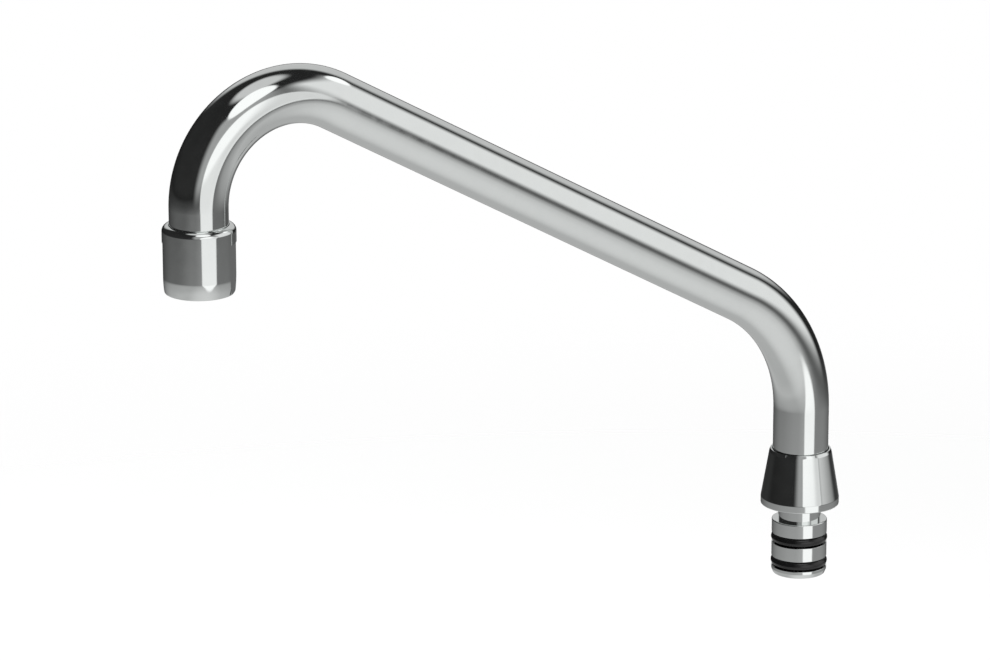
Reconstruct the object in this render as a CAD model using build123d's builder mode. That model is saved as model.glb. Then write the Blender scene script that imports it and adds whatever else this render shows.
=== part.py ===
# Swivel spout: a bent tube that plugs into a tap on two O-rings and pours through a screwed-on aerator.
# Millimetres, +Z up. The origin is on the swivel axis, at the face of the collar that rests on the tap.
# The arm runs towards -Y.
import os
from math import cos, radians, sin, tan

from build123d import *

os.makedirs("parts", exist_ok=True)

# Tube
tube_diameter = 19.05
tube_wall = 1.25
reach = 230.0
riser_height = 34.6
base_bend_radius = 50.3
arm_slope = 29.1
outlet_bend_radius = 32.9
outlet_straight = 4.5

# Thread on the outlet end, drawn as plain cylinders on its pitch line
thread_pitch = 25.4 / 27
thread_engaged = 7.5
thread_run_out = 0.4
pitch_line_depth = 0.325 * thread_pitch
thread_height = 0.541 * thread_pitch
thread_clearance = 0.05

# Collar
collar_height = 19.7
collar_band_height = 2.5
collar_taper = 9.6
rim_wall = 0.45
rim_bevel_width = 0.4
rim_bevel_height = 1.0
mouth_gap = 0.35
mouth_depth = 1.5
socket_depth = 12.0
braze_gap = 0.05
edge_break = 0.3

# Spigot, its neck and its two ring grooves
neck_diameter = 14.6
neck_length = 5.6
neck_wall = 2.3
spigot_diameter = 19.0
spigot_length = 19.4
spigot_chamfer_width = 0.6
spigot_chamfer_height = 1.4
groove_width = 3.55
upper_land = 4.875
groove_spacing = 8.45
o_ring_section = 3.4
o_ring_proud = 0.2
o_ring_running_clearance = 0.05

# Aerator housing
housing_wall = 2.2
housing_length = 23.4
housing_shoulder = 2.0
opening_gap = 0.15
opening_depth = 2.2
flat_depth = 0.975
flats_length = 16.7
flats_turn = 51.0
foot_height = 5.3
foot_taper = 6.7
foot_curve_radius = 36.0
foot_rounding = 0.6

# Insert: the shell and the pieces in it
insert_play = 0.1
washer_thickness = 1.6
flange_thickness = 1.1
shelf_overlap = 0.5
air_gap = 0.5
shell_wall = 0.7
shell_recess = 0.8
pocket_wall = 1.1
ledge_width = 0.6
ledge_thickness = 0.6
window_count = 6
window_width = 3.2
window_height = 1.1
piece_fit = 0.05
strainer_rim = 0.6
strainer_skin = 0.5
strainer_rise = 1.2
strainer_slant = 0.9
strainer_hole = 0.85
strainer_pitch = 2.1
washer_overlap = 0.4
regulator_height = 2.6
regulator_floor = 0.9
regulator_core_diameter = 5.6
regulator_ring_section = 1.6
regulator_rib_count = 8
regulator_slot_width = 0.8
diffuser_thickness = 1.0
jet_diameter = 0.9
jet_count = 12
screen_thickness = 0.3
screen_opening = 1.15
screen_pitch = 1.95
spacer_height = 0.7
spacer_width = 0.6
grid_thickness = 1.7
grid_cell = 1.7
grid_web = 0.3
grid_recess = 0.2

tube_radius = tube_diameter / 2
bore_radius = tube_radius - tube_wall
socket_floor_z = collar_height - socket_depth

# The arm's own plane: local x runs out along the reach, local y is up
arm_plane = Plane(origin=(0, 0, 0), x_dir=(0, -1, 0), z_dir=(-1, 0, 0))

# Heights along the outlet, which hangs straight down at the end of the reach
slope = radians(arm_slope)
base_bend_out = base_bend_radius * (1 - sin(slope))
base_bend_up = base_bend_radius * cos(slope)
arm_run = reach - base_bend_out - outlet_bend_radius * (1 + sin(slope))
arm_length = arm_run / cos(slope)
outlet_bend_z = riser_height + base_bend_up + arm_length * sin(slope) - outlet_bend_radius * cos(slope)
housing_top_z = outlet_bend_z - outlet_straight
thread_top_z = housing_top_z - opening_depth
tube_end_z = thread_top_z - thread_engaged
flange_top_z = tube_end_z - washer_thickness
shelf_z = flange_top_z - flange_thickness
housing_bottom_z = housing_top_z - housing_length

# Radii that the tube's thread passes on to all that screws on or drops in
male_thread_radius = tube_radius - pitch_line_depth
female_thread_radius = male_thread_radius + thread_clearance
insert_radius = tube_radius - thread_height - insert_play
throat_radius = insert_radius - shelf_overlap
shell_radius = throat_radius - air_gap
pocket_radius = shell_radius - pocket_wall
screen_seat_radius = shell_radius - shell_wall

outlet_section = Plane.XZ.offset(reach)
outlet_axis = Axis((0, -reach, 0), (0, 0, 1))


def outlet_level(z):
    """A level plane centred on the outlet."""
    return Plane(origin=(0, -reach, z))


def square_places(pitch, radius):
    """The places of a square pattern round its middle that lie inside a circle."""
    count = 2 * int(radius / pitch) + 1
    places = GridLocations(pitch, pitch, count, count).local_locations
    return [place for place in places if place.position.length < radius]


def hexagon_places(pitch, radius):
    """The places of a hexagonal pattern round its middle, ring by ring out to a radius."""
    rings = int(radius / pitch)
    steps = range(-rings, rings + 1)
    row_pitch = pitch * cos(radians(30))
    return [(pitch * (i + j / 2), row_pitch * j) for i in steps for j in steps if abs(i + j) <= rings]


# Spout tube: one length, drawn round two bends in one plane, with an outside thread cut on its outlet end
with BuildPart() as spout_tube:
    with BuildLine(arm_plane) as tube_path:
        riser = Line((0, socket_floor_z), (0, riser_height))
        base_bend = JernArc(riser @ 1, riser % 1, base_bend_radius, arm_slope - 90)
        arm = PolarLine(base_bend @ 1, arm_length, direction=base_bend % 1)
        outlet_bend = JernArc(arm @ 1, arm % 1, outlet_bend_radius, -90 - arm_slope)
        Line(outlet_bend @ 1, (reach, tube_end_z))
    with BuildSketch(Plane.XY.offset(socket_floor_z)):
        Circle(tube_radius)
        Circle(bore_radius, mode=Mode.SUBTRACT)
    sweep(path=tube_path.wire())
    with BuildSketch(outlet_level(tube_end_z)):
        Circle(tube_radius + tube_wall)
        Circle(male_thread_radius, mode=Mode.SUBTRACT)
    extrude(amount=thread_engaged + thread_run_out, mode=Mode.SUBTRACT)
spout_tube.part.label = "spout_tube"
export_step(spout_tube.part, "parts/spout_tube.step")

# Swivel shank: tapered collar, neck and spigot turned from one bar, bored through, with a socket for the tube
socket_radius = tube_radius + braze_gap
mouth_radius = tube_radius + mouth_gap
rim_radius = mouth_radius + rim_wall
collar_top_radius = rim_radius + rim_bevel_width
bevel_z = collar_height - rim_bevel_height
collar_radius = collar_top_radius + (bevel_z - collar_band_height) * tan(radians(collar_taper))
neck_radius = neck_diameter / 2
waterway_radius = neck_radius - neck_wall
spigot_radius = spigot_diameter / 2
spigot_top_z = -neck_length
spigot_bottom_z = spigot_top_z - spigot_length
o_ring_outer_radius = spigot_radius + o_ring_proud
groove_root_radius = o_ring_outer_radius - o_ring_section - o_ring_running_clearance
upper_ring_z = spigot_top_z - upper_land - groove_width / 2
lower_ring_z = upper_ring_z - groove_spacing
with BuildPart() as swivel_shank:
    with BuildSketch(Plane.XZ):
        with BuildLine():
            Polyline(
                (waterway_radius, spigot_bottom_z),
                (spigot_radius - spigot_chamfer_width, spigot_bottom_z),
                (spigot_radius, spigot_bottom_z + spigot_chamfer_height),
                (spigot_radius, spigot_top_z - edge_break),
                (spigot_radius - edge_break, spigot_top_z),
                (neck_radius, spigot_top_z),
                (neck_radius, 0),
                (collar_radius - edge_break, 0),
                (collar_radius, edge_break),
                (collar_radius, collar_band_height),
                (collar_top_radius, bevel_z),
                (rim_radius, collar_height),
                (mouth_radius, collar_height),
                (mouth_radius, collar_height - mouth_depth),
                (socket_radius, collar_height - mouth_depth),
                (socket_radius, socket_floor_z),
                (waterway_radius, socket_floor_z),
                close=True,
            )
        make_face()
    revolve(axis=Axis.Z)
    with BuildSketch(Plane.XZ):
        with Locations((groove_root_radius, upper_ring_z), (groove_root_radius, lower_ring_z)):
            Rectangle(spigot_radius, groove_width, align=(Align.MIN, Align.CENTER))
    revolve(axis=Axis.Z, mode=Mode.SUBTRACT)
swivel_shank.part.label = "swivel_shank"
export_step(swivel_shank.part, "parts/swivel_shank.step")

# O-rings, drawn free: they fill their grooves, stand a little proud of the spigot and stay with the tap's bore
for ring_name, ring_z in (("upper_o_ring", upper_ring_z), ("lower_o_ring", lower_ring_z)):
    with BuildPart() as o_ring:
        with BuildSketch(Plane.XZ):
            with Locations((o_ring_outer_radius - o_ring_section / 2, ring_z)):
                Circle(o_ring_section / 2)
        revolve(axis=Axis.Z)
    o_ring.part.label = ring_name
    export_step(o_ring.part, f"parts/{ring_name}.step")

# Aerator housing: a turned cap with an inside thread, a shelf for the insert and two wrench flats
opening_radius = tube_radius + opening_gap
housing_radius = opening_radius + housing_wall
flats_across = 2 * (housing_radius - flat_depth)
foot_top_z = housing_bottom_z + foot_height
foot_radius = housing_radius - foot_height * tan(radians(foot_taper))
with BuildPart() as aerator_housing:
    with BuildSketch(outlet_section) as housing_profile:
        with BuildLine():
            foot_curve = RadiusArc((foot_radius, housing_bottom_z), (housing_radius, foot_top_z), -foot_curve_radius)
            Polyline(
                foot_curve @ 1,
                (housing_radius, housing_top_z),
                (opening_radius, housing_top_z),
                (opening_radius, thread_top_z),
                (female_thread_radius, thread_top_z),
                (female_thread_radius, shelf_z),
                (throat_radius, shelf_z),
                (throat_radius, housing_bottom_z),
                foot_curve @ 0,
            )
        make_face()
        shoulder_corner = housing_profile.vertices().sort_by_distance((housing_radius, housing_top_z))[0]
        fillet(shoulder_corner, housing_shoulder)
        foot_corner = housing_profile.vertices().sort_by_distance((foot_radius, housing_bottom_z))[0]
        fillet(foot_corner, foot_rounding)
    revolve(axis=outlet_axis)
    with BuildSketch(outlet_level(housing_bottom_z)):
        Circle(2 * housing_radius)
        Rectangle(4 * housing_radius, flats_across, rotation=flats_turn + 90, mode=Mode.SUBTRACT)
    extrude(amount=flats_length, mode=Mode.SUBTRACT)
aerator_housing.part.label = "aerator_housing"
export_step(aerator_housing.part, "parts/aerator_housing.step")

# Aerator shell: flanged sleeve; the upper pocket holds the inlet pieces, air comes in through the windows
# above the step, and the lower bore holds the screens
shell_bottom_z = housing_bottom_z + shell_recess
grid_bottom_z = shell_bottom_z + grid_recess
lower_screen_z = grid_bottom_z + grid_thickness
lower_spacer_z = lower_screen_z + screen_thickness
middle_screen_z = lower_spacer_z + spacer_height
upper_spacer_z = middle_screen_z + screen_thickness
upper_screen_z = upper_spacer_z + spacer_height
step_z = upper_screen_z + screen_thickness
strainer_seat_z = flange_top_z - strainer_rim
regulator_z = strainer_seat_z - regulator_height
diffuser_z = regulator_z - diffuser_thickness
ledge_radius = pocket_radius - ledge_width
ledge_bottom_z = diffuser_z - ledge_thickness
with BuildPart() as aerator_shell:
    with BuildSketch(outlet_section):
        with BuildLine():
            Polyline(
                (screen_seat_radius, shell_bottom_z),
                (shell_radius, shell_bottom_z),
                (shell_radius, shelf_z),
                (insert_radius, shelf_z),
                (insert_radius, flange_top_z),
                (pocket_radius, flange_top_z),
                (pocket_radius, diffuser_z),
                (ledge_radius, diffuser_z),
                (ledge_radius, ledge_bottom_z),
                (pocket_radius, ledge_bottom_z),
                (pocket_radius, step_z),
                (screen_seat_radius, step_z),
                close=True,
            )
        make_face()
    revolve(axis=outlet_axis)
    with BuildSketch(outlet_level(ledge_bottom_z)):
        with PolarLocations(shell_radius, window_count):
            Rectangle(4 * pocket_wall, window_width)
    extrude(amount=-window_height, mode=Mode.SUBTRACT)
aerator_shell.part.label = "aerator_shell"
export_step(aerator_shell.part, "parts/aerator_shell.step")

# Inlet strainer: a low cap with a perforated flat top; its rim sits on the regulator, under the washer's edge
strainer_radius = pocket_radius - piece_fit
cap_radius = strainer_radius - washer_overlap - piece_fit
strainer_top_radius = cap_radius - strainer_slant
strainer_top_z = flange_top_z + strainer_rise
with BuildPart() as inlet_strainer:
    with BuildSketch(outlet_section):
        with BuildLine():
            Polyline(
                (0, strainer_top_z - strainer_skin),
                (0, strainer_top_z),
                (strainer_top_radius, strainer_top_z),
                (cap_radius, flange_top_z),
                (strainer_radius, flange_top_z),
                (strainer_radius, strainer_seat_z),
                (cap_radius - strainer_skin, strainer_seat_z),
                (strainer_top_radius - strainer_skin, strainer_top_z - strainer_skin),
                close=True,
            )
        make_face()
    revolve(axis=outlet_axis)
    with BuildSketch(outlet_level(strainer_top_z)):
        with Locations(*hexagon_places(strainer_pitch, strainer_top_radius)):
            RegularPolygon(strainer_hole, 6)
    extrude(amount=-2 * strainer_skin, mode=Mode.SUBTRACT)
inlet_strainer.part.label = "inlet_strainer"
export_step(inlet_strainer.part, "parts/inlet_strainer.step")

# Aerator washer: a flat ring that the tube's end presses on the flange
with BuildPart() as aerator_washer:
    with BuildSketch(outlet_level(flange_top_z)):
        Circle(insert_radius)
        Circle(cap_radius + piece_fit, mode=Mode.SUBTRACT)
    extrude(amount=washer_thickness)
aerator_washer.part.label = "aerator_washer"
export_step(aerator_washer.part, "parts/aerator_washer.step")

# Flow regulator: a cup with a core in the middle; the slots beside the core let the water past the ring
core_radius = regulator_core_diameter / 2
channel_radius = core_radius + regulator_ring_section + 2 * piece_fit
with BuildPart() as flow_regulator:
    with BuildSketch(outlet_level(regulator_z)):
        Circle(strainer_radius)
    extrude(amount=regulator_height)
    with BuildSketch(outlet_level(regulator_z + regulator_floor)):
        Circle(channel_radius)
        Circle(core_radius, mode=Mode.SUBTRACT)
    extrude(amount=regulator_height, mode=Mode.SUBTRACT)
    with BuildSketch(outlet_level(regulator_z)):
        with PolarLocations(core_radius, regulator_rib_count):
            Rectangle(regulator_ring_section, regulator_slot_width)
    extrude(amount=regulator_height, mode=Mode.SUBTRACT)
flow_regulator.part.label = "flow_regulator"
export_step(flow_regulator.part, "parts/flow_regulator.step")

# Regulator ring: lies on the cup's floor around the core
with BuildPart() as regulator_o_ring:
    with BuildSketch(outlet_section):
        ring_middle = core_radius + piece_fit + regulator_ring_section / 2
        with Locations((ring_middle, regulator_z + regulator_floor + regulator_ring_section / 2)):
            Circle(regulator_ring_section / 2)
    revolve(axis=outlet_axis)
regulator_o_ring.part.label = "regulator_o_ring"
export_step(regulator_o_ring.part, "parts/regulator_o_ring.step")

# Diffuser: a plate with a ring of jets near its edge
with BuildPart() as diffuser_disc:
    with BuildSketch(outlet_level(diffuser_z)):
        Circle(strainer_radius)
        with PolarLocations(ledge_radius - jet_diameter, jet_count):
            Circle(jet_diameter / 2, mode=Mode.SUBTRACT)
    extrude(amount=diffuser_thickness)
diffuser_disc.part.label = "diffuser_disc"
export_step(diffuser_disc.part, "parts/diffuser_disc.step")

# Screens: three woven wire discs, each drawn as a plate with square openings
screen_radius = screen_seat_radius - piece_fit
screen_levels = (
    ("lower_screen", lower_screen_z),
    ("middle_screen", middle_screen_z),
    ("upper_screen", upper_screen_z),
)
for screen_name, screen_z in screen_levels:
    with BuildPart() as screen:
        with BuildSketch(outlet_level(screen_z)):
            Circle(screen_radius)
            with Locations(*square_places(screen_pitch, screen_radius - screen_opening)):
                Rectangle(screen_opening, screen_opening, mode=Mode.SUBTRACT)
        extrude(amount=screen_thickness)
    screen.part.label = screen_name
    export_step(screen.part, f"parts/{screen_name}.step")

# Spacers: thin rings that keep the screens apart
for spacer_name, spacer_z in (("lower_spacer", lower_spacer_z), ("upper_spacer", upper_spacer_z)):
    with BuildPart() as spacer:
        with BuildSketch(outlet_level(spacer_z)):
            Circle(screen_radius)
            Circle(screen_radius - spacer_width, mode=Mode.SUBTRACT)
        extrude(amount=spacer_height)
    spacer.part.label = spacer_name
    export_step(spacer.part, f"parts/{spacer_name}.step")

# Outlet grid: a honeycomb that straightens the stream and closes the stack of screens
with BuildPart() as outlet_grid:
    with BuildSketch(outlet_level(grid_bottom_z)):
        Circle(screen_radius)
        with Locations(*hexagon_places(grid_cell + grid_web, screen_radius - grid_cell / 2)):
            RegularPolygon(grid_cell / 2, 6, major_radius=False, rotation=30, mode=Mode.SUBTRACT)
    extrude(amount=grid_thickness)
outlet_grid.part.label = "outlet_grid"
export_step(outlet_grid.part, "parts/outlet_grid.step")
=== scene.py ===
# Looks of a swivel spout: a bent chrome tube that plugs into a tap on two O-rings and pours through an
# aerator. Metres, +Z up, the arm towards -Y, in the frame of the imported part.
from math import asin, cos, pi, radians, sin

import bmesh
import bpy
from mathutils import Matrix, Vector


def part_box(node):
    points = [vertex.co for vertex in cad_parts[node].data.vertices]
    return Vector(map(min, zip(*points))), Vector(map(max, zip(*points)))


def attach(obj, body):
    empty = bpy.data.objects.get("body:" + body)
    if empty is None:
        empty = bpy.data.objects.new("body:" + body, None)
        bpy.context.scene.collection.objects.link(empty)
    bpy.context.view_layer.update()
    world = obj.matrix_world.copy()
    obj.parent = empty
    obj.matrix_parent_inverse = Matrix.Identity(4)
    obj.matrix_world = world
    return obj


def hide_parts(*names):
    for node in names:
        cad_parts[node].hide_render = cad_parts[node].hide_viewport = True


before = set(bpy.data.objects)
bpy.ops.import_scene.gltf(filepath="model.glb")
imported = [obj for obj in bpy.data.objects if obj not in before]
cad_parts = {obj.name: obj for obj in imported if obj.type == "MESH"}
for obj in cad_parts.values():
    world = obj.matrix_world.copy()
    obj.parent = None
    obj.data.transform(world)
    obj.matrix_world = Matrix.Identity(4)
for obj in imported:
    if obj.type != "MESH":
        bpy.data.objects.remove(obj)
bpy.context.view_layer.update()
mm = 0.001


# Camera: a long lens, looking down on the spout a little from its front right, as the photograph does.
# Its angles are in radians, and its focal length and the photograph's width are in pixels.
photo_width = 990
view_azimuth = 1.04222
view_elevation = 0.28456
camera_roll = -0.00133
camera_distance = 1.7247
focal_length_pixels = 5239.2
looked_at = Vector((0, -0.1215, 0.07977))

towards_camera = Vector((
    sin(view_azimuth) * cos(view_elevation),
    -cos(view_azimuth) * cos(view_elevation),
    sin(view_elevation),
))
level_right = Vector((cos(view_azimuth), sin(view_azimuth), 0))
level_up = towards_camera.cross(level_right)
picture_right = cos(camera_roll) * level_right + sin(camera_roll) * level_up
picture_up = towards_camera.cross(picture_right)
lens = bpy.data.cameras.new("long_lens")
lens.sensor_width = 36
lens.lens = focal_length_pixels / photo_width * lens.sensor_width
camera = bpy.data.objects.new("camera", lens)
bpy.context.scene.collection.objects.link(camera)
camera.matrix_world = Matrix((picture_right, picture_up, towards_camera)).transposed().to_4x4()
camera.location = looked_at + camera_distance * towards_camera
bpy.context.scene.camera = camera


# Studio: a dark room round the spout, which the chrome shows. It has a pale floor that darkens towards the
# horizon, two large pale panels, round lamps and a few soft patches of painted shade and painted light on its
# floor and walls. The camera sees white behind the spout, and matt surfaces get plain even light. Directions
# are in degrees, and tones go from 0 to 1.
chrome_return = 0.8
matt_light = 0.72
world = bpy.data.worlds.new("studio")
bpy.context.scene.world = world
bpy.context.scene.view_settings.view_transform = "Standard"
world.use_nodes = True
room = world.node_tree
room.nodes.clear()


def looking(azimuth, elevation):
    """The direction at an azimuth from -Y towards +X and an elevation, both in degrees."""
    turn, rise = radians(azimuth), radians(elevation)
    return Vector((sin(turn) * cos(rise), -cos(turn) * cos(rise), sin(rise)))


def grey(tone):
    """The light that renders as a grey tone in chrome, which returns four fifths of it (sRGB's own curve)."""
    light = ((tone + 0.055) / 1.055) ** 2.4 / chrome_return
    return (light, light, light, 1)


def math_step(operation, *inputs):
    """One step of the room's arithmetic; an input is a number or another step's result."""
    step = room.nodes.new("ShaderNodeMath")
    step.operation = operation
    for socket, value in zip(step.inputs, inputs):
        if isinstance(value, (int, float)):
            socket.default_value = value
        else:
            room.links.new(value, socket)
    return step.outputs["Value"]


def along(direction):
    """How far the looked-at direction goes along another: 1 when it is the same."""
    product = room.nodes.new("ShaderNodeVectorMath")
    product.operation = "DOT_PRODUCT"
    product.inputs[1].default_value = direction
    room.links.new(direction_of_view, product.inputs[0])
    return product.outputs["Value"]


def eased(value, none_at, full_at):
    """A smooth rise from 0 where the value is none_at to 1 where it is full_at."""
    ease = room.nodes.new("ShaderNodeMapRange")
    ease.interpolation_type = "SMOOTHSTEP"
    room.links.new(value, ease.inputs["Value"])
    low, high = sorted((none_at, full_at))
    ease.inputs["From Min"].default_value = low
    ease.inputs["From Max"].default_value = high
    ease.inputs["To Min"].default_value = 0 if low == none_at else 1
    ease.inputs["To Max"].default_value = 1 if low == none_at else 0
    return ease.outputs["Result"]


def painted(under, share, tone, strength=1):
    """A tone laid over what is there already, by its share and strength.

    A Mix node has sockets of one name for numbers, vectors and colours, so its colour sockets go by number.
    """
    color_below, color_above, color_mixed = 6, 7, 2
    if strength != 1:
        share = math_step("MULTIPLY", share, strength)
    mix = room.nodes.new("ShaderNodeMix")
    mix.data_type = "RGBA"
    room.links.new(share, mix.inputs["Factor"])
    room.links.new(under, mix.inputs[color_below])
    mix.inputs[color_above].default_value = grey(tone)
    return mix.outputs[color_mixed]


def disc(azimuth, elevation, radius, edge):
    """A round lamp: full inside its radius and gone an edge further out, in degrees."""
    closeness = along(looking(azimuth, elevation))
    return eased(closeness, cos(radians(radius + edge / 2)), cos(radians(radius - edge / 2)))


def between(value, low, high, low_edge, high_edge):
    """Full between two angles and gone beyond them across soft edges, all in degrees."""
    from_low = eased(value, radians(low - low_edge / 2), radians(low + low_edge / 2))
    to_high = eased(value, radians(high + high_edge / 2), radians(high - high_edge / 2))
    return math_step("MULTIPLY", from_low, to_high)


def turn_from(azimuth):
    """How far the looked-at direction is turned from an azimuth."""
    return math_step("ARCTAN2", along(looking(azimuth + 90, 0)), along(looking(azimuth, 0)))


def oval(azimuth, elevation, half_width, half_height, edge):
    """An upright oval, in degrees; its soft edge is a share of its size."""
    across = math_step("MULTIPLY", turn_from(azimuth), 1 / radians(half_width))
    up = math_step("MULTIPLY_ADD", elevation_of_view, 1 / radians(half_height), -elevation / half_height)
    size = math_step("SQRT", math_step("MULTIPLY_ADD", across, across, math_step("MULTIPLY", up, up)))
    return eased(size, 1 + edge / 2, 1 - edge / 2)


def panel(left, right, low, high, left_edge, right_edge, low_edge, high_edge):
    """An upright panel between two azimuths and two elevations, in degrees, with soft edges."""
    middle = (left + right) / 2
    within = between(turn_from(middle), left - middle, right - middle, left_edge, right_edge)
    return math_step("MULTIPLY", within, between(elevation_of_view, low, high, low_edge, high_edge))


coordinates = room.nodes.new("ShaderNodeTexCoord")
direction_of_view = coordinates.outputs["Generated"]
elevation_of_view = math_step("ARCSINE", along(Vector((0, 0, 1))))

# The floor's and the walls' tones, from straight down to straight up.
heights = room.nodes.new("ShaderNodeValToRGB")
room.links.new(math_step("MULTIPLY_ADD", elevation_of_view, 1 / pi, 0.5), heights.inputs["Fac"])
floor_and_wall = [
    (-90, 0.68),
    (-60, 0.66),
    (-40, 0.65),
    (-30, 0.68),
    (-25, 0.62),
    (-20, 0.57),
    (-15, 0.39),
    (-10, 0.255),
    (-5, 0.125),
    (0, 0.155),
    (90, 0.117),
]
while len(heights.color_ramp.elements) < len(floor_and_wall):
    heights.color_ramp.elements.new(0.5)
for height, (elevation, tone) in zip(heights.color_ramp.elements, floor_and_wall):
    height.position = elevation / 180 + 0.5
    height.color = grey(tone)

# Lamps and panels that stand in the room, and painted shade and light on its floor and walls, each laid over
# what is there before it.
view = heights.outputs["Color"]
floor_glow = disc(azimuth=82.5, elevation=-57, radius=24.5, edge=50)
view = painted(view, floor_glow, tone=0.795)
# Painted shade on the floor at the horizon, on the left.
left_horizon_shade = panel(
    left=-95, right=25, low=-16.6, high=-9.5, left_edge=40, right_edge=40, low_edge=3, high_edge=4
)
view = painted(view, left_horizon_shade, tone=0.107, strength=0.3)
# A painted pool of light on the near floor.
near_floor_light = oval(azimuth=42, elevation=-21, half_width=55, half_height=4.5, edge=1.2)
view = painted(view, near_floor_light, tone=0.66, strength=0.4)
overhead_lamp = disc(azimuth=0, elevation=90, radius=19, edge=10)
view = painted(view, overhead_lamp, tone=0.757)
# Painted shade low on the far wall.
far_wall_shade = oval(azimuth=-118, elevation=-3, half_width=54, half_height=19, edge=1.6)
view = painted(view, far_wall_shade, tone=0.107)
# Painted shade on the far floor.
far_floor_shade = oval(azimuth=-138, elevation=-24, half_width=15, half_height=15, edge=1)
view = painted(view, far_floor_shade, tone=0.38)
side_panel = panel(
    left=46.3, right=110.4, low=-5.8, high=45.3, left_edge=19, right_edge=30, low_edge=16, high_edge=11
)
view = painted(view, side_panel, tone=0.603)
rear_panel = panel(
    left=120.8, right=178, low=-5.2, high=44.8, left_edge=19, right_edge=20, low_edge=17, high_edge=17
)
view = painted(view, rear_panel, tone=0.857)
rear_highlight = oval(azimuth=174.8, elevation=38.2, half_width=12, half_height=7.5, edge=0.3)
view = painted(view, rear_highlight, tone=1.0)
far_lamp = oval(azimuth=-127.7, elevation=26.7, half_width=37.2, half_height=23.7, edge=0.48)
view = painted(view, far_lamp, tone=0.725)

# As the chrome shows it, the lamp beside the spout is brightest at its upper left and duller elsewhere.
side_lamp = disc(azimuth=93.3, elevation=0.9, radius=27.8, edge=4)
low_band = between(elevation_of_view, low=-16.4, high=-1, low_edge=7, high_edge=7)
right_part = between(turn_from(azimuth=105), low=0, high=90, low_edge=17, high_edge=17)
upper_part = between(elevation_of_view, low=-10, high=45, low_edge=7, high_edge=7)
upper_right = math_step("MULTIPLY", right_part, upper_part)
view = painted(view, side_lamp, tone=0.974)
view = painted(view, math_step("MULTIPLY", side_lamp, low_band), tone=0.87)
view = painted(view, math_step("MULTIPLY", side_lamp, upper_right), tone=0.817)
high_lamp = disc(azimuth=80.7, elevation=56.2, radius=18.1, edge=2.8)
view = painted(view, high_lamp, tone=0.988)

seen_in_chrome = room.nodes.new("ShaderNodeBackground")
room.links.new(view, seen_in_chrome.inputs["Color"])
seen_by_camera = room.nodes.new("ShaderNodeBackground")
seen_by_camera.inputs["Color"].default_value = (1, 1, 1, 1)
light_on_matt = room.nodes.new("ShaderNodeBackground")
light_on_matt.inputs["Color"].default_value = (matt_light, matt_light, matt_light, 1)
ray = room.nodes.new("ShaderNodeLightPath")
matt_or_chrome = room.nodes.new("ShaderNodeMixShader")
room.links.new(ray.outputs["Is Glossy Ray"], matt_or_chrome.inputs["Fac"])
room.links.new(light_on_matt.outputs["Background"], matt_or_chrome.inputs[1])
room.links.new(seen_in_chrome.outputs["Background"], matt_or_chrome.inputs[2])
white_behind = room.nodes.new("ShaderNodeMixShader")
room.links.new(ray.outputs["Is Camera Ray"], white_behind.inputs["Fac"])
room.links.new(matt_or_chrome.outputs["Shader"], white_behind.inputs[1])
room.links.new(seen_by_camera.outputs["Background"], white_behind.inputs[2])
surroundings = room.nodes.new("ShaderNodeOutputWorld")
room.links.new(white_behind.outputs["Shader"], surroundings.inputs["Surface"])


# Swivel shank: one piece of brass bar, turned, bored and chrome plated. Its collar rests on the tap, the
# tube is brazed into the socket in the collar, and the spigot below the neck carries the two O-rings.
tube_low, tube_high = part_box("spout_tube")
shank_low, shank_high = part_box("swivel_shank")
tube_radius = tube_high.x
socket_floor = tube_low.z
collar_radius = shank_high.x
collar_height = shank_high.z
spigot_bottom = shank_low.z
collar_band = 2.5 * mm
collar_rounding = 0.12 * mm
seat_rounding = 0.3 * mm
rim_wall = 0.45 * mm
rim_bevel = Vector((0.4 * mm, 1.0 * mm))
rim_rounding = 0.08 * mm
mouth_gap = 0.35 * mm
mouth_depth = 1.5 * mm
braze_gap = 0.05 * mm
neck_radius = 7.3 * mm
neck_length = 5.6 * mm
waterway_radius = 5.0 * mm
spigot_radius = 9.5 * mm
spigot_chamfer = Vector((0.6 * mm, 1.4 * mm))
chamfer_rounding = 0.15 * mm
spigot_top_rounding = 0.35 * mm
groove_width = 3.55 * mm
groove_gap = 0.05 * mm
groove_rounding = 0.12 * mm
same_place = 0.01 * mm
merge_distance = 0.001 * mm
upper_ring_low, upper_ring_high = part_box("upper_o_ring")
lower_ring_low, lower_ring_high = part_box("lower_o_ring")
upper_ring_z = (upper_ring_low.z + upper_ring_high.z) / 2
lower_ring_z = (lower_ring_low.z + lower_ring_high.z) / 2
o_ring_outer = upper_ring_high.x
o_ring_section = upper_ring_high.z - upper_ring_low.z
groove_root = o_ring_outer - o_ring_section - groove_gap


def turned(name, centre, outline, steps=128):
    """A piece turned round an upright axis: a ring drawn out along the outline's (radius, height) places."""
    (radius, height), *rest = outline
    bpy.ops.object.select_all(action="DESELECT")
    bpy.ops.mesh.primitive_circle_add(vertices=steps, radius=radius, location=(centre.x, centre.y, height))
    piece = bpy.context.object
    piece.name = name
    bpy.ops.object.transform_apply()
    bpy.ops.object.mode_set(mode="EDIT")
    bpy.ops.mesh.select_all(action="SELECT")
    for next_radius, next_height in rest:
        bpy.ops.mesh.extrude_region_move(TRANSFORM_OT_translate={"value": (0, 0, next_height - height)})
        share = next_radius / radius
        bpy.ops.transform.resize(value=(share, share, 1), center_override=(centre.x, centre.y, next_height))
        radius, height = next_radius, next_height
    bpy.ops.mesh.select_all(action="SELECT")
    bpy.ops.mesh.remove_doubles(threshold=merge_distance)
    bpy.ops.mesh.normals_make_consistent(inside=False)
    bpy.ops.mesh.select_all(action="DESELECT")
    bpy.ops.object.mode_set(mode="OBJECT")
    return piece


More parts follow.
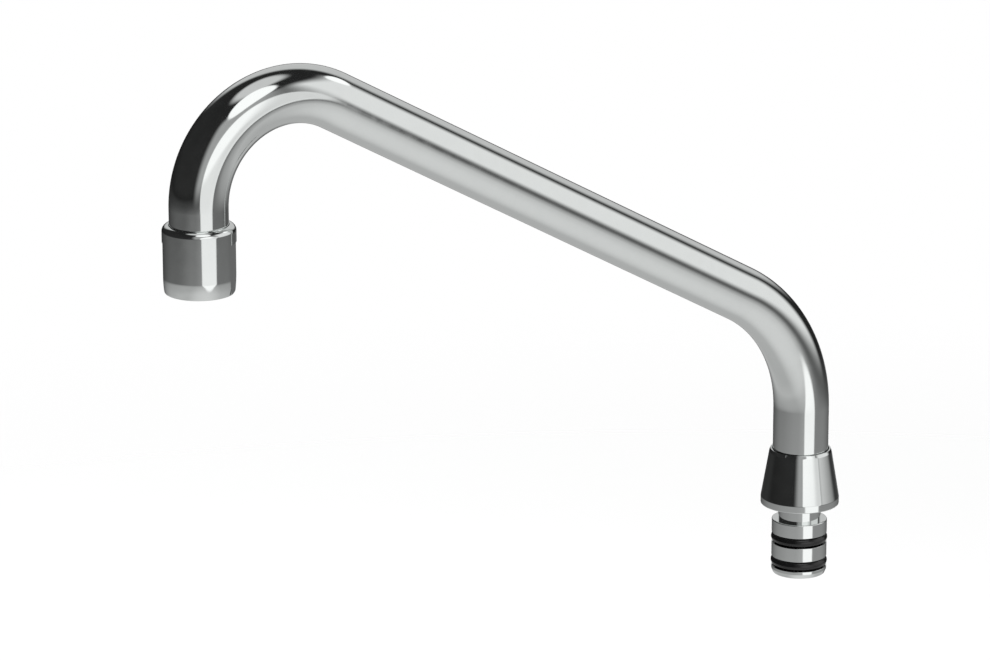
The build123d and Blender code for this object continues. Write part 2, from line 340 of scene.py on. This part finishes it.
def round_turned_edges(piece, centre, rings, width, steps=2):
    """Rounds the turned edges that lie at the given (radius, height) places."""

    def on_ring(vertex, ring):
        radius, height = ring
        turned_radius = (vertex.co.xy - centre.xy).length
        return abs(turned_radius - radius) < same_place and abs(vertex.co.z - height) < same_place

    bpy.ops.object.mode_set(mode="EDIT")
    bpy.ops.mesh.select_all(action="DESELECT")
    bpy.ops.mesh.select_mode(type="EDGE")
    shape = bmesh.from_edit_mesh(piece.data)
    for edge in shape.edges:
        edge.select = any(all(on_ring(vertex, ring) for vertex in edge.verts) for ring in rings)
    bmesh.update_edit_mesh(piece.data)
    bpy.ops.mesh.bevel(offset=width, segments=steps, affect="EDGES", clamp_overlap=False)
    bpy.ops.mesh.select_all(action="DESELECT")
    bpy.ops.object.mode_set(mode="OBJECT")


def smooth_shaded(piece, crease=radians(50)):
    """Smooth shading that keeps large faces true, turns across the small rounded edges and stops at creases.

    Faces are weighed by area. Areas in square metres would all count as equal, so the piece is enlarged
    meanwhile.
    """
    enlarged = 1000
    bpy.ops.object.select_all(action="DESELECT")
    piece.select_set(True)
    bpy.context.view_layer.objects.active = piece
    bpy.ops.object.shade_smooth_by_angle(angle=crease)
    piece.data.transform(Matrix.Scale(enlarged, 4))
    true_faces = piece.modifiers.new("true_faces", "WEIGHTED_NORMAL")
    true_faces.weight = 90
    true_faces.keep_sharp = True
    bpy.ops.object.modifier_apply(modifier=true_faces.name)
    piece.data.transform(Matrix.Scale(1 / enlarged, 4))


def finish_named(name):
    """A new finish that is drawn by nodes."""
    finish = bpy.data.materials.new(name)
    finish.use_nodes = True
    return finish


def mottle(finish, scale, detail=2, distortion=0):
    """A cloudy pattern that stays on the piece, at a scale in clouds per metre."""
    nodes, links = finish.node_tree.nodes, finish.node_tree.links
    place = nodes.get("Texture Coordinate") or nodes.new("ShaderNodeTexCoord")
    clouds = nodes.new("ShaderNodeTexNoise")
    clouds.inputs["Scale"].default_value = scale
    clouds.inputs["Detail"].default_value = detail
    clouds.inputs["Distortion"].default_value = distortion
    links.new(place.outputs["Object"], clouds.inputs["Vector"])
    return clouds.outputs["Fac"]


def tint_by(finish, pattern, low, low_tint, high, high_tint):
    """Colours the finish from one tint to another as the pattern goes from low to high."""
    nodes, links = finish.node_tree.nodes, finish.node_tree.links
    tints = nodes.new("ShaderNodeValToRGB")
    for stop, position, tint in zip(tints.color_ramp.elements, (low, high), (low_tint, high_tint)):
        stop.position = position
        stop.color = (*tint, 1)
    links.new(pattern, tints.inputs["Fac"])
    links.new(tints.outputs["Color"], nodes["Principled BSDF"].inputs["Base Color"])


def dull_by(finish, pattern, smoothest, roughest, low=0, high=1):
    """Dulls the finish from its smoothest to its roughest as the pattern goes from low to high."""
    nodes, links = finish.node_tree.nodes, finish.node_tree.links
    dullness = nodes.new("ShaderNodeMapRange")
    dullness.inputs["From Min"].default_value = low
    dullness.inputs["From Max"].default_value = high
    dullness.inputs["To Min"].default_value = smoothest
    dullness.inputs["To Max"].default_value = roughest
    links.new(pattern, dullness.inputs["Value"])
    links.new(dullness.outputs["Result"], nodes["Principled BSDF"].inputs["Roughness"])


def relief_by(finish, pattern, strength, depth):
    """Raises and sinks the finish with the pattern, by a depth in metres."""
    nodes, links = finish.node_tree.nodes, finish.node_tree.links
    relief = nodes.new("ShaderNodeBump")
    relief.inputs["Strength"].default_value = strength
    relief.inputs["Distance"].default_value = depth
    links.new(pattern, relief.inputs["Height"])
    links.new(relief.outputs["Normal"], nodes["Principled BSDF"].inputs["Normal"])


def plated(name, dullness):
    """Bright chrome plate over polished brass: a barely tinted mirror with a faint haze and ripple."""
    haze_depth = 0.05
    finish = finish_named(name)
    finish.node_tree.nodes["Principled BSDF"].inputs["Metallic"].default_value = 1
    haze = mottle(finish, scale=300, detail=6)
    tint_by(finish, haze, low=0.3, low_tint=(0.778, 0.80, 0.79), high=0.7, high_tint=(0.798, 0.82, 0.81))
    dull_by(finish, haze, dullness, dullness + haze_depth, low=0.35, high=0.75)
    ripple = mottle(finish, scale=220, detail=1)
    relief_by(finish, ripple, strength=0.2, depth=0.002 * mm)
    return finish


mouth_radius = tube_radius + mouth_gap
rim_radius = mouth_radius + rim_wall
collar_top_radius = rim_radius + rim_bevel.x
bevel_height = collar_height - rim_bevel.y
spigot_top = -neck_length
chamfer_top = (spigot_radius, spigot_bottom + spigot_chamfer.y)
chamfer_foot = (spigot_radius - spigot_chamfer.x, spigot_bottom)
swivel_axis = Vector((0, 0, 0))
groove_edges = [
    (spigot_radius, ring_z + side * groove_width / 2)
    for ring_z in (lower_ring_z, upper_ring_z)
    for side in (-1, 1)
]
shank_outline = [
    (waterway_radius, spigot_bottom),
    chamfer_foot,
    chamfer_top,
    groove_edges[0],
    (groove_root, groove_edges[0][1]),
    (groove_root, groove_edges[1][1]),
    groove_edges[1],
    groove_edges[2],
    (groove_root, groove_edges[2][1]),
    (groove_root, groove_edges[3][1]),
    groove_edges[3],
    (spigot_radius, spigot_top),
    (neck_radius, spigot_top),
    (neck_radius, 0),
    (collar_radius, 0),
    (collar_radius, collar_band),
    (collar_top_radius, bevel_height),
    (rim_radius, collar_height),
    (mouth_radius, collar_height),
    (mouth_radius, collar_height - mouth_depth),
    (tube_radius + braze_gap, collar_height - mouth_depth),
    (tube_radius + braze_gap, socket_floor),
    (waterway_radius, socket_floor),
    (waterway_radius, spigot_bottom),
]
shank = turned("swivel_shank_turned", swivel_axis, shank_outline)
collar_edges = [(collar_radius, collar_band), (collar_top_radius, bevel_height)]
rim_edges = [(rim_radius, collar_height), (mouth_radius, collar_height)]
round_turned_edges(shank, swivel_axis, [*groove_edges, (waterway_radius, spigot_bottom)], groove_rounding)
round_turned_edges(shank, swivel_axis, [(spigot_radius, spigot_top)], spigot_top_rounding, steps=4)
round_turned_edges(shank, swivel_axis, [(collar_radius, 0)], seat_rounding, steps=3)
round_turned_edges(shank, swivel_axis, [chamfer_top, chamfer_foot], chamfer_rounding)
round_turned_edges(shank, swivel_axis, collar_edges, collar_rounding)
round_turned_edges(shank, swivel_axis, rim_edges, rim_rounding)
smooth_shaded(shank)
shank.data.materials.append(plated("chrome_on_shank", dullness=0.04))
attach(shank, "spout")
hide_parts("swivel_shank")


# O-rings: two moulded rings of black nitrile rubber, lightly greased, in the spigot's grooves. They seal in
# the tap's bore and stay with it while the spout turns. A fine parting line of the mould runs round the
# outside and the inside.
parting_width = 0.12 * mm
parting_height = 0.02 * mm


def moulded_ring(name, centre, outer_radius, section, rounds=128):
    """A rubber ring with a raised parting line at its middle height."""
    bpy.ops.object.select_all(action="DESELECT")
    bpy.ops.mesh.primitive_torus_add(
        major_segments=rounds,
        minor_segments=32,
        major_radius=outer_radius - section / 2,
        minor_radius=section / 2,
        location=centre,
    )
    ring = bpy.context.object
    ring.name = name
    bpy.ops.object.transform_apply()
    bpy.ops.object.mode_set(mode="EDIT")
    bpy.ops.mesh.select_all(action="DESELECT")
    bpy.ops.mesh.select_mode(type="EDGE")
    shape = bmesh.from_edit_mesh(ring.data)
    for edge in shape.edges:
        edge.select = all(abs(vertex.co.z - centre.z) < same_place for vertex in edge.verts)
    bmesh.update_edit_mesh(ring.data)
    bpy.ops.mesh.bevel(offset=parting_width / 2, segments=2, affect="EDGES")
    bpy.ops.mesh.select_all(action="DESELECT")
    bpy.ops.mesh.select_mode(type="VERT")
    shape = bmesh.from_edit_mesh(ring.data)
    for vertex in shape.verts:
        vertex.select = abs(vertex.co.z - centre.z) < same_place
    bmesh.update_edit_mesh(ring.data)
    bpy.ops.transform.shrink_fatten(value=parting_height)
    bpy.ops.mesh.select_all(action="DESELECT")
    bpy.ops.object.mode_set(mode="OBJECT")
    bpy.ops.object.shade_smooth()
    return ring


def rubber(name, tint, dullness):
    """Moulded rubber: nearly black, slightly greasy, with a fine grain that breaks up its soft highlight."""
    darker = 0.8
    lighter = 1.25
    grease_depth = 0.12
    finish = finish_named(name)
    grease = mottle(finish, scale=260, detail=4)
    dark_tint = [darker * part for part in tint]
    light_tint = [lighter * part for part in tint]
    tint_by(finish, grease, low=0.35, low_tint=dark_tint, high=0.7, high_tint=light_tint)
    dull_by(finish, grease, dullness, dullness + grease_depth)
    relief_by(finish, mottle(finish, scale=6000), strength=0.25, depth=0.01 * mm)
    return finish


nitrile = rubber("black_nitrile", tint=(0.004, 0.004, 0.0042), dullness=0.16)
for ring_node in ("upper_o_ring", "lower_o_ring"):
    ring_low, ring_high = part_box(ring_node)
    ring_centre = Vector((0, 0, (ring_low.z + ring_high.z) / 2))
    o_ring = moulded_ring(ring_node + "_moulded", ring_centre, o_ring_outer, o_ring_section)
    o_ring.data.materials.append(nitrile)
    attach(o_ring, "o_rings")
    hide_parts(ring_node)


# Spout tube: one length of brass tube, drawn round two bends, polished and chrome plated. Its lower end is
# brazed into the collar's socket, and its other end has a right-hand outside thread for the aerator.
reach = -(tube_low.y + tube_radius)
outlet_axis = Vector((0, -reach, 0))
tube_wall = 1.25 * mm
riser_height = 34.6 * mm
base_bend_radius = 50.3 * mm
base_bend_steps = 48
outlet_bend_radius = 32.9 * mm
outlet_bend_steps = 72
arm_slope = radians(29.1)
outlet_straight = 4.5 * mm
thread_pitch = 25.4 / 27 * mm
thread_height = 0.541 * thread_pitch
thread_engaged = 7.5 * mm
thread_run_out = 0.4 * mm
thread_turns = 7
thread_turn_steps = 64
thread_crest_width = thread_pitch / 8
thread_base_width = 0.78 * thread_pitch
first_ridge_rise = 0.6 * thread_pitch
ridge_sink = 0.05 * mm
run_out_slope = 0.3 * mm
end_chamfer = 0.25 * mm
opening_depth = 2.2 * mm

arm_run = reach - base_bend_radius * (1 - sin(arm_slope)) - outlet_bend_radius * (1 + sin(arm_slope))
arm_length = arm_run / cos(arm_slope)
arm_direction = Vector((0, -cos(arm_slope), sin(arm_slope)))
base_bend_centre = Vector((0, -base_bend_radius, riser_height))
arm_start_z = riser_height + base_bend_radius * cos(arm_slope)
outlet_bend_z = arm_start_z + arm_length * sin(arm_slope) - outlet_bend_radius * cos(arm_slope)
outlet_bend_centre = Vector((0, outlet_bend_radius - reach, outlet_bend_z))
straight_end = outlet_bend_z - outlet_straight
thread_top = straight_end - opening_depth
tube_end = thread_top - thread_engaged


def drawn_through_bends(name, radius, steps=128):
    """A skin of the tube, drawn from a ring at the socket's floor up the riser, along the arm and down."""
    bpy.ops.object.select_all(action="DESELECT")
    bpy.ops.mesh.primitive_circle_add(vertices=steps, radius=radius, location=(0, 0, socket_floor))
    skin = bpy.context.object
    skin.name = name
    bpy.ops.object.transform_apply()
    bpy.ops.object.mode_set(mode="EDIT")
    bpy.ops.mesh.select_all(action="SELECT")
    bpy.ops.mesh.extrude_region_move(TRANSFORM_OT_translate={"value": (0, 0, riser_height - socket_floor)})
    bpy.ops.mesh.spin(
        steps=base_bend_steps, angle=pi / 2 - arm_slope, center=base_bend_centre, axis=(-1, 0, 0)
    )
    bpy.ops.mesh.extrude_region_move(TRANSFORM_OT_translate={"value": arm_length * arm_direction})
    bpy.ops.mesh.spin(
        steps=outlet_bend_steps, angle=pi / 2 + arm_slope, center=outlet_bend_centre, axis=(-1, 0, 0)
    )
    return skin


def drawn_down(radius_before, radius, drop, centre, height):
    """Draws the selected ring down and turns it down to a radius, as on a lathe."""
    bpy.ops.mesh.extrude_region_move(TRANSFORM_OT_translate={"value": (0, 0, -drop)})
    share = radius / radius_before
    bpy.ops.transform.resize(value=(share, share, 1), center_override=(centre.x, centre.y, height - drop))


def thread_ridge(name, centre, inner, outer, inner_width, outer_width, lowest, turns):
    """The ridge of a right-hand thread: its section stands beside the axis and is screwed up round it."""
    bpy.ops.object.select_all(action="DESELECT")
    bpy.ops.mesh.primitive_plane_add(size=1, location=(centre.x, centre.y, lowest), rotation=(pi / 2, 0, 0))
    ridge = bpy.context.object
    ridge.name = name
    bpy.ops.object.transform_apply(location=False)
    bpy.ops.object.mode_set(mode="EDIT")
    bpy.ops.mesh.select_all(action="SELECT")
    bpy.ops.mesh.delete(type="ONLY_FACE")
    section = bmesh.from_edit_mesh(ridge.data)
    for corner in section.verts:
        width = outer_width if corner.co.x > 0 else inner_width
        corner.co = Vector((outer if corner.co.x > 0 else inner, 0, corner.co.z * width))
    bmesh.update_edit_mesh(ridge.data)
    bpy.ops.object.mode_set(mode="OBJECT")
    winding = ridge.modifiers.new("winding", "SCREW")
    winding.axis = "Z"
    winding.screw_offset = thread_pitch
    winding.iterations = turns
    winding.steps = winding.render_steps = thread_turn_steps
    bpy.ops.object.modifier_apply(modifier=winding.name)
    bpy.ops.object.transform_apply()
    bpy.ops.object.mode_set(mode="EDIT")
    bpy.ops.mesh.select_all(action="SELECT")
    bpy.ops.mesh.remove_doubles(threshold=merge_distance)
    bpy.ops.mesh.select_all(action="DESELECT")
    bpy.ops.mesh.select_mode(type="EDGE")
    bpy.ops.mesh.select_non_manifold()
    bpy.ops.mesh.edge_face_add()
    bpy.ops.mesh.select_all(action="SELECT")
    bpy.ops.mesh.normals_make_consistent(inside=False)
    bpy.ops.object.mode_set(mode="OBJECT")
    return ridge


def joined(first, *others):
    """One piece made of several meshes."""
    bpy.ops.object.select_all(action="DESELECT")
    for piece in (first, *others):
        piece.select_set(True)
    bpy.context.view_layer.objects.active = first
    bpy.ops.object.join()
    return first


thread_root = tube_radius - thread_height
thread_start = thread_top + thread_run_out
bore_radius = tube_radius - tube_wall
root_bottom = tube_end + end_chamfer

tube = drawn_through_bends("spout_tube_drawn", tube_radius)
bpy.ops.mesh.extrude_region_move(TRANSFORM_OT_translate={"value": (0, 0, thread_start - outlet_bend_z)})
drawn_down(tube_radius, thread_root, run_out_slope, outlet_axis, thread_start)
root_drop = root_bottom - thread_start + run_out_slope
bpy.ops.mesh.extrude_region_move(TRANSFORM_OT_translate={"value": (0, 0, root_drop)})
drawn_down(thread_root, thread_root - end_chamfer, end_chamfer, outlet_axis, root_bottom)
bpy.ops.object.mode_set(mode="OBJECT")
bore = drawn_through_bends("bore", bore_radius)
bpy.ops.mesh.extrude_region_move(TRANSFORM_OT_translate={"value": (0, 0, tube_end - outlet_bend_z)})
bpy.ops.object.mode_set(mode="OBJECT")
joined(tube, bore)
bpy.ops.object.mode_set(mode="EDIT")
for end_z in (socket_floor, tube_end):
    bpy.ops.mesh.select_all(action="DESELECT")
    bpy.ops.mesh.select_mode(type="EDGE")
    shape = bmesh.from_edit_mesh(tube.data)
    for edge in shape.edges:
        at_end = all(abs(vertex.co.z - end_z) < same_place for vertex in edge.verts)
        edge.select = edge.is_boundary and at_end
    bmesh.update_edit_mesh(tube.data)
    bpy.ops.mesh.bridge_edge_loops()
bpy.ops.mesh.select_all(action="SELECT")
bpy.ops.mesh.normals_make_consistent(inside=False)
bpy.ops.object.mode_set(mode="OBJECT")
smooth_shaded(tube)

first_ridge_z = tube_end + first_ridge_rise
outside_thread = thread_ridge(
    "outside_thread",
    outlet_axis,
    inner=thread_root - ridge_sink,
    outer=tube_radius,
    inner_width=thread_base_width,
    outer_width=thread_crest_width,
    lowest=first_ridge_z,
    turns=thread_turns,
)
joined(tube, outside_thread)
tube.data.materials.append(plated("chrome_on_tube", dullness=0.05))
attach(tube, "spout")
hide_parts("spout_tube")


# Aerator insert, moulded pieces: a flanged acetal shell, the inlet strainer, the flow regulator and its ring,
# the diffuser, two spacers and the honeycomb at the outlet. They drop into the shell from above and below
# and snap there.
moulded_edge = 0.05 * mm


def moulded_from(node, name, edge=moulded_edge):
    """A moulded piece with the node's form: its faces made whole, its edges soft as a mould leaves them."""
    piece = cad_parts[node].copy()
    piece.data = piece.data.copy()
    piece.name = name
    piece.parent = None
    bpy.context.scene.collection.objects.link(piece)
    bpy.ops.object.select_all(action="DESELECT")
    piece.select_set(True)
    bpy.context.view_layer.objects.active = piece
    bpy.ops.object.mode_set(mode="EDIT")
    bpy.ops.mesh.select_all(action="SELECT")
    bpy.ops.mesh.remove_doubles(threshold=merge_distance)
    bpy.ops.mesh.dissolve_limited(angle_limit=radians(1))
    bpy.ops.mesh.select_all(action="DESELECT")
    bpy.ops.object.mode_set(mode="OBJECT")
    softened = piece.modifiers.new("softened", "BEVEL")
    softened.width = edge
    softened.segments = 2
    softened.limit_method = "ANGLE"
    softened.angle_limit = radians(35)
    softened.use_clamp_overlap = True
    bpy.ops.object.modifier_apply(modifier=softened.name)
    piece.data.materials.clear()
    smooth_shaded(piece)
    return piece


def moulded_plastic(name, tint, dullness):
    """Injection-moulded acetal: slightly waxy, with faint cloudy flow marks and a fine matt grain."""
    darker = 0.93
    flow_depth = 0.15
    waxy_depth = 0.5 * mm
    finish = finish_named(name)
    skin = finish.node_tree.nodes["Principled BSDF"]
    skin.inputs["IOR"].default_value = 1.48
    skin.inputs["Subsurface Weight"].default_value = 0.08
    skin.inputs["Subsurface Radius"].default_value = (waxy_depth, waxy_depth, waxy_depth)
    flow = mottle(finish, scale=180, detail=5, distortion=0.6)
    dark_tint = [darker * part for part in tint]
    tint_by(finish, flow, low=0.3, low_tint=dark_tint, high=0.7, high_tint=tint)
    dull_by(finish, flow, dullness, dullness + flow_depth)
    relief_by(finish, mottle(finish, scale=9000), strength=0.15, depth=0.01 * mm)
    return finish


white_acetal = moulded_plastic("white_acetal", tint=(0.80, 0.81, 0.82), dullness=0.34)
off_white_acetal = moulded_plastic("off_white_acetal", tint=(0.80, 0.79, 0.75), dullness=0.36)
grey_acetal = moulded_plastic("grey_acetal", tint=(0.52, 0.54, 0.56), dullness=0.38)
moulded_pieces = [
    ("aerator_shell", "shell_plastic", white_acetal),
    ("inlet_strainer", "strainer_plastic", grey_acetal),
    ("flow_regulator", "regulator_plastic", off_white_acetal),
    ("diffuser_disc", "diffuser_plastic", off_white_acetal),
    ("upper_spacer", "spacer_plastic", white_acetal),
    ("lower_spacer", "spacer_plastic", white_acetal),
    ("outlet_grid", "grid_plastic", white_acetal),
]
for node, plastic_slot, plastic in moulded_pieces:
    moulded = moulded_from(node, node + "_moulded")
    moulded.data.materials.append(plastic)
    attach(moulded, "insert")
    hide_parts(node)


# Aerator insert, rubber pieces: the flat washer that the tube's end presses on the shell's flange, cut from
# black rubber, and the soft ring in the regulator, which closes the slots as the pressure rises.
washer_edge = 0.12 * mm
washer = moulded_from("aerator_washer", "aerator_washer_cut", washer_edge)
washer.data.materials.append(rubber("washer_rubber", tint=(0.035, 0.035, 0.036), dullness=0.5))
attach(washer, "insert")
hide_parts("aerator_washer")

ring_low, ring_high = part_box("regulator_o_ring")
ring_centre = (ring_low + ring_high) / 2
ring_outer = (ring_high.x - ring_low.x) / 2
ring_section = ring_high.z - ring_low.z
regulator_ring = moulded_ring("regulator_o_ring_moulded", ring_centre, ring_outer, ring_section, rounds=96)
regulator_ring.data.materials.append(rubber("silicone", tint=(0.09, 0.09, 0.095), dullness=0.4))
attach(regulator_ring, "insert")
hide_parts("regulator_o_ring")


# Aerator insert, screens: three discs punched from plain-woven stainless wire cloth. Each lies on a spacer or
# on the honeycomb, turned a little against the next one, and they mix air into the water.
screen_low, screen_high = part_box("upper_screen")
screen_radius = (screen_high.x - screen_low.x) / 2
wire_pitch = 0.85 * mm
wire_radius = (screen_high.z - screen_low.z) / 4
wire_sides = 6
free_at_rim = 0.2 * wire_pitch
screen_turns = [("upper_screen", 0), ("middle_screen", 28), ("lower_screen", 60)]


def woven_wire(offset, over_first, across):
    """One wire of the cloth: a rod from edge to edge of the disc that goes over and under the others."""
    half_length = (screen_radius**2 - offset**2) ** 0.5
    crossings = int(half_length / wire_pitch)
    bpy.ops.object.select_all(action="DESELECT")
    bpy.ops.mesh.primitive_circle_add(
        vertices=wire_sides,
        radius=wire_radius,
        fill_type="NGON",
        location=(-half_length, offset, 0),
        rotation=(0, pi / 2, 0),
    )
    wire = bpy.context.object
    bpy.ops.object.transform_apply()
    bpy.ops.object.mode_set(mode="EDIT")
    bpy.ops.mesh.select_all(action="SELECT")
    stops = [step * wire_pitch / 2 for step in range(-2 * crossings, 2 * crossings + 1)]
    for near, far in zip([-half_length, *stops], [*stops, half_length]):
        bpy.ops.mesh.extrude_region_move(TRANSFORM_OT_translate={"value": (far - near, 0, 0)})
    shape = bmesh.from_edit_mesh(wire.data)
    for vertex in shape.verts:
        vertex.co.z += over_first * wire_radius * cos(pi * vertex.co.x / wire_pitch)
        if across:
            vertex.co.xy = Vector((vertex.co.y, vertex.co.x))
    bmesh.update_edit_mesh(wire.data)
    bpy.ops.mesh.select_all(action="SELECT")
    bpy.ops.mesh.normals_make_consistent(inside=False)
    bpy.ops.object.mode_set(mode="OBJECT")
    return wire


wires_each_side = int((screen_radius - free_at_rim) / wire_pitch)
wires = [
    woven_wire(index * wire_pitch, (1 if index % 2 else -1) * (-1 if across else 1), across)
    for across in (False, True)
    for index in range(-wires_each_side, wires_each_side + 1)
]
cloth = joined(*wires)
bpy.ops.object.shade_smooth_by_angle(angle=radians(60))


def drawn_steel(name):
    """Drawn stainless wire: a fine unevenness from the drawing spreads its highlight."""
    finish = finish_named(name)
    steel = finish.node_tree.nodes["Principled BSDF"]
    steel.inputs["Base Color"].default_value = (0.60, 0.61, 0.62, 1)
    steel.inputs["Metallic"].default_value = 1
    dull_by(finish, mottle(finish, scale=4000), smoothest=0.22, roughest=0.42)
    return finish


cloth.data.materials.append(drawn_steel("stainless_wire"))
for screen_node, turn_degrees in screen_turns:
    screen_low, screen_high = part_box(screen_node)
    screen = cloth.copy()
    screen.data = cloth.data.copy()
    screen.name = screen_node + "_woven"
    bpy.context.scene.collection.objects.link(screen)
    middle = (screen_low + screen_high) / 2
    screen.data.transform(Matrix.Translation(middle) @ Matrix.Rotation(radians(turn_degrees), 4, "Z"))
    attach(screen, "insert")
    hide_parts(screen_node)
bpy.data.objects.remove(cloth)


# Aerator housing: a turned brass cap with an inside thread, a rounded shoulder, two wrench flats and a foot
# that curves in, chrome plated. It screws up over the tube's end and holds the insert and its washer
# against it. Its top and bottom are a little inside its solid's, where the photograph shows them.
housing_low, housing_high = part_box("aerator_housing")
shell_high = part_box("aerator_shell")[1]
top_lowered = 0.9 * mm
bottom_raised = 0.2 * mm
housing_radius = housing_high.x
housing_bottom = housing_low.z + bottom_raised
housing_top = housing_high.z - top_lowered
housing_shoulder = 2.0 * mm
opening_gap = 0.15 * mm
mouth_rounding = 0.15 * mm
foot_height = 5.4 * mm
foot_taper = radians(6.7)
foot_curve_radius = 36 * mm
foot_curve_steps = 6
foot_rounding = 0.5 * mm
flats_across = 21.8 * mm
flats_length = 16.75 * mm
flats_turn = radians(51)
rings_above_flats = (0.1 * mm, 1 * mm)
cutter_thickness = 10 * mm
cutter_width = 30 * mm
cutter_overrun = 10 * mm
flange_thickness = 1.1 * mm
shelf_overlap = 0.5 * mm
throat_radius = shell_high.x - shelf_overlap
shelf_z = shell_high.z - flange_thickness
thread_clearance = 0.05 * mm
inside_crest_width = 0.2 * mm

foot_half_turn = asin(foot_height / cos(foot_taper) / 2 / foot_curve_radius)
foot_top_slant = foot_taper - foot_half_turn
foot_slants = [
    foot_taper + foot_half_turn * (1 - 2 * step / foot_curve_steps) for step in range(foot_curve_steps + 1)
]
foot_curve = [
    (
        housing_radius - foot_curve_radius * (cos(foot_top_slant) - cos(slant)),
        housing_bottom + foot_height - foot_curve_radius * (sin(slant) - sin(foot_top_slant)),
    )
    for slant in foot_slants
]
opening_radius = tube_radius + opening_gap
inside_root = tube_radius + thread_clearance
housing_outline = [
    (throat_radius, housing_bottom),
    *foot_curve,
    *[(housing_radius, housing_bottom + flats_length + above) for above in rings_above_flats],
    (housing_radius, housing_top),
    (opening_radius, housing_top),
    (opening_radius, thread_top),
    (inside_root, thread_top),
    (inside_root, shelf_z),
    (throat_radius, shelf_z),
    (throat_radius, housing_bottom),
]
housing = turned("aerator_housing_turned", outlet_axis, housing_outline, steps=256)
mouth_edges = [(opening_radius, housing_top), (throat_radius, housing_bottom)]
round_turned_edges(housing, outlet_axis, [(housing_radius, housing_top)], housing_shoulder, steps=10)
round_turned_edges(housing, outlet_axis, [foot_curve[0]], foot_rounding, steps=6)
round_turned_edges(housing, outlet_axis, mouth_edges, mouth_rounding, steps=5)
cutter_z = housing_bottom + flats_length / 2 - cutter_overrun / 2
for side in (0, pi):
    facing = Vector((cos(flats_turn + side), sin(flats_turn + side), 0))
    bpy.ops.object.select_all(action="DESELECT")
    bpy.ops.mesh.primitive_cube_add(
        size=1,
        location=outlet_axis + facing * (flats_across / 2 + cutter_thickness / 2) + Vector((0, 0, cutter_z)),
        rotation=(0, 0, flats_turn + side),
        scale=(cutter_thickness, cutter_width, flats_length + cutter_overrun),
    )
    cutter = bpy.context.object
    flat = housing.modifiers.new("flat", "BOOLEAN")
    flat.object = cutter
    flat.solver = "EXACT"
    bpy.context.view_layer.objects.active = housing
    bpy.ops.object.modifier_apply(modifier=flat.name)
    bpy.data.objects.remove(cutter)
smooth_shaded(housing, crease=radians(20))

inside_thread = thread_ridge(
    "inside_thread",
    outlet_axis,
    inner=thread_root + thread_clearance,
    outer=inside_root + ridge_sink,
    inner_width=inside_crest_width,
    outer_width=thread_base_width,
    lowest=first_ridge_z - thread_pitch / 2,
    turns=thread_turns,
)
joined(housing, inside_thread)
housing.data.materials.append(plated("chrome_on_housing", dullness=0.04))
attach(housing, "housing")
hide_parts("aerator_housing")


# Floor and lamps: a pale floor well below the spout keeps its shadow, fades into the white behind it and is
# clear from underneath. Two broad soft lamps light the matt pieces. The chrome shows neither, but the room.
floor_drop = 0.28
floor_radius = 1.5
full_floor = 0.4 * floor_radius
faded_floor = 0.9 * floor_radius
floor_middle = (0, -0.115, spigot_bottom - floor_drop)
bpy.ops.object.select_all(action="DESELECT")
bpy.ops.mesh.primitive_circle_add(vertices=96, radius=floor_radius, fill_type="NGON", location=floor_middle)
floor = bpy.context.object
floor.name = "floor"
bpy.ops.object.transform_apply()
floor.visible_glossy = False
paint = finish_named("pale_floor")
paint_nodes, paint_links = paint.node_tree.nodes, paint.node_tree.links
matt = paint_nodes["Principled BSDF"]
matt.inputs["Base Color"].default_value = (0.93, 0.93, 0.93, 1)
matt.inputs["Roughness"].default_value = 0.9
matt.inputs["Specular IOR Level"].default_value = 0
floor_place = paint_nodes.new("ShaderNodeTexCoord")
from_middle = paint_nodes.new("ShaderNodeVectorMath")
from_middle.operation = "LENGTH"
paint_links.new(floor_place.outputs["Object"], from_middle.inputs[0])
fading = paint_nodes.new("ShaderNodeMapRange")
fading.interpolation_type = "SMOOTHSTEP"
fading.inputs["From Min"].default_value = full_floor
fading.inputs["From Max"].default_value = faded_floor
paint_links.new(from_middle.outputs["Value"], fading.inputs["Value"])
underside = paint_nodes.new("ShaderNodeNewGeometry")
clearing = paint_nodes.new("ShaderNodeMath")
clearing.operation = "MAXIMUM"
paint_links.new(fading.outputs["Result"], clearing.inputs[0])
paint_links.new(underside.outputs["Backfacing"], clearing.inputs[1])
clear = paint_nodes.new("ShaderNodeBsdfTransparent")
faded = paint_nodes.new("ShaderNodeMixShader")
paint_links.new(clearing.outputs["Value"], faded.inputs["Fac"])
paint_links.new(matt.outputs["BSDF"], faded.inputs[1])
paint_links.new(clear.outputs["BSDF"], faded.inputs[2])
paint_links.new(faded.outputs["Shader"], paint_nodes["Material Output"].inputs["Surface"])
floor.data.materials.append(paint)

lamps = [
    ("key", looking(105, 50), 1.1, 0.9, 14),
    ("fill", looking(-60, 35), 1.4, 1.2, 7),
]
for lamp_name, lamp_direction, lamp_distance, lamp_size, lamp_power in lamps:
    glow = bpy.data.lights.new(lamp_name, "AREA")
    glow.shape = "DISK"
    glow.size = lamp_size
    glow.energy = lamp_power
    lamp = bpy.data.objects.new(lamp_name, glow)
    bpy.context.scene.collection.objects.link(lamp)
    lamp.location = looked_at + lamp_distance * lamp_direction
    lamp.rotation_euler = lamp_direction.to_track_quat("Z", "Y").to_euler()
    lamp.visible_glossy = False
    lamp.visible_camera = False
